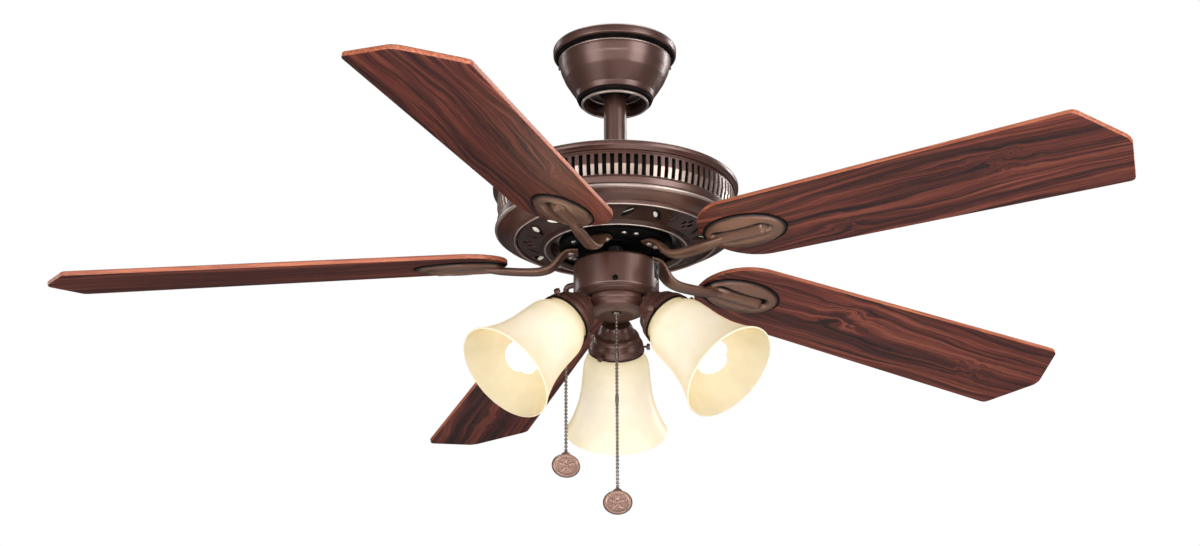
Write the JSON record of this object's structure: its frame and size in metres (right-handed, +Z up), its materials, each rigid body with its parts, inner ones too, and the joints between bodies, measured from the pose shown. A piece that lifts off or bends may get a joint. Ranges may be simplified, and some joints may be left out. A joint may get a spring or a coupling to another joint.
{
  "type": "ceiling fan with light",
  "caption": "Ceiling fan on a short downrod with wood blades on cast irons, a vented motor housing and a light kit of angled frosted glass shades, worked by pull chains.",
  "frame": {"origin": "centre of the hanger bracket's upper face, where it meets the ceiling", "axes": "+Z up into the ceiling, along the downrod; +X to the viewer's right and -Y towards the viewer in the usual front view"},
  "size_m": [1.2155, 1.2562, 0.5815],
  "materials": {
    "bronze": "satin oil-rubbed bronze paint",
    "blackened_steel": "satin black",
    "zinc_steel": "zinc plated",
    "antique_chain": "antique bronze plated",
    "cast_aluminium": "as cast",
    "walnut_veneer": "satin lacquered dark walnut grain",
    "enamelled_copper": "enamelled winding",
    "porcelain": "glazed white",
    "black_plastic": "moulded",
    "tea_glass": "frosted tea-stained",
    "lamp_white": "white lamp glass and base",
    "black_rubber": "moulded with steel insert"
  },
  "bodies": {
    "ceiling_mount": {"hanger_bracket": "zinc_steel", "canopy": "bronze", "canopy_ring": "bronze", "canopy_screw_1": "bronze", "canopy_screw_2": "bronze"},
    "stem": {"hanger_ball": "black_plastic", "ball_cross_pin": "zinc_steel", "downrod": "bronze", "yoke_coupling": "blackened_steel", "yoke_bolt": "zinc_steel", "motor_shaft": "zinc_steel", "stator_winding": "enamelled_copper", "housing_dome": "bronze", "housing_vent_band": "bronze", "housing_lower_ring": "bronze", "housing_bottom_plate": "bronze", "switch_housing": "bronze", "speed_switch": "black_plastic", "reverse_switch": "black_plastic", "run_capacitor": "black_plastic", "fan_chain_guide": "bronze", "light_fitter_pan": "bronze", "fitter_bowl": "bronze", "light_chain_bushing": "zinc_steel", "light_switch": "black_plastic", "socket_cup_1": "bronze", "socket_cup_2": "bronze", "socket_cup_3": "bronze", "lampholder_1": "porcelain", "lampholder_2": "porcelain", "lampholder_3": "porcelain", "bulb_1": "lamp_white", "bulb_2": "lamp_white", "bulb_3": "lamp_white", "shade_1": "tea_glass", "shade_2": "tea_glass", "shade_3": "tea_glass"},
    "rotor": {"upper_bearing": "zinc_steel", "lower_bearing": "zinc_steel", "rotor_case_top": "cast_aluminium", "rotor_case_bottom": "cast_aluminium", "flywheel": "black_rubber", "blade_iron_1": "bronze", "blade_iron_2": "bronze", "blade_iron_3": "bronze", "blade_iron_4": "bronze", "blade_iron_5": "bronze", "blade_1": "walnut_veneer", "blade_2": "walnut_veneer", "blade_3": "walnut_veneer", "blade_4": "walnut_veneer", "blade_5": "walnut_veneer"},
    "fan_pull": {"fan_chain": "antique_chain", "fan_fob": "bronze"},
    "light_pull": {"light_chain": "antique_chain", "light_fob": "bronze"},
    "reverse_knob": {"reverse_slider": "black_plastic"}
  },
  "joints": [
    {"name": "stem_sway", "type": "hinge", "parent": "ceiling_mount", "child": "stem", "pos_m": [0, 0, -0.046], "axis": [1, 0, 0], "range_deg": [-15, 15]},
    {"name": "rotor_spin", "type": "hinge", "parent": "stem", "child": "rotor", "pos_m": [0, 0, -0.275], "axis": [0, 0, 1], "continuous": true},
    {"name": "fan_pull_slide", "type": "slide", "parent": "stem", "child": "fan_pull", "axis": [0, 0, -1], "range_m": [0, 0.012], "stiffness_N_per_m": 300, "springref_m": -0.006},
    {"name": "light_pull_slide", "type": "slide", "parent": "stem", "child": "light_pull", "axis": [0, 0, -1], "range_m": [0, 0.012], "stiffness_N_per_m": 300, "springref_m": -0.006},
    {"name": "reverse_slide", "type": "slide", "parent": "stem", "child": "reverse_knob", "axis": [0, 0, 1], "range_m": [0, 0.005]}
  ]
}
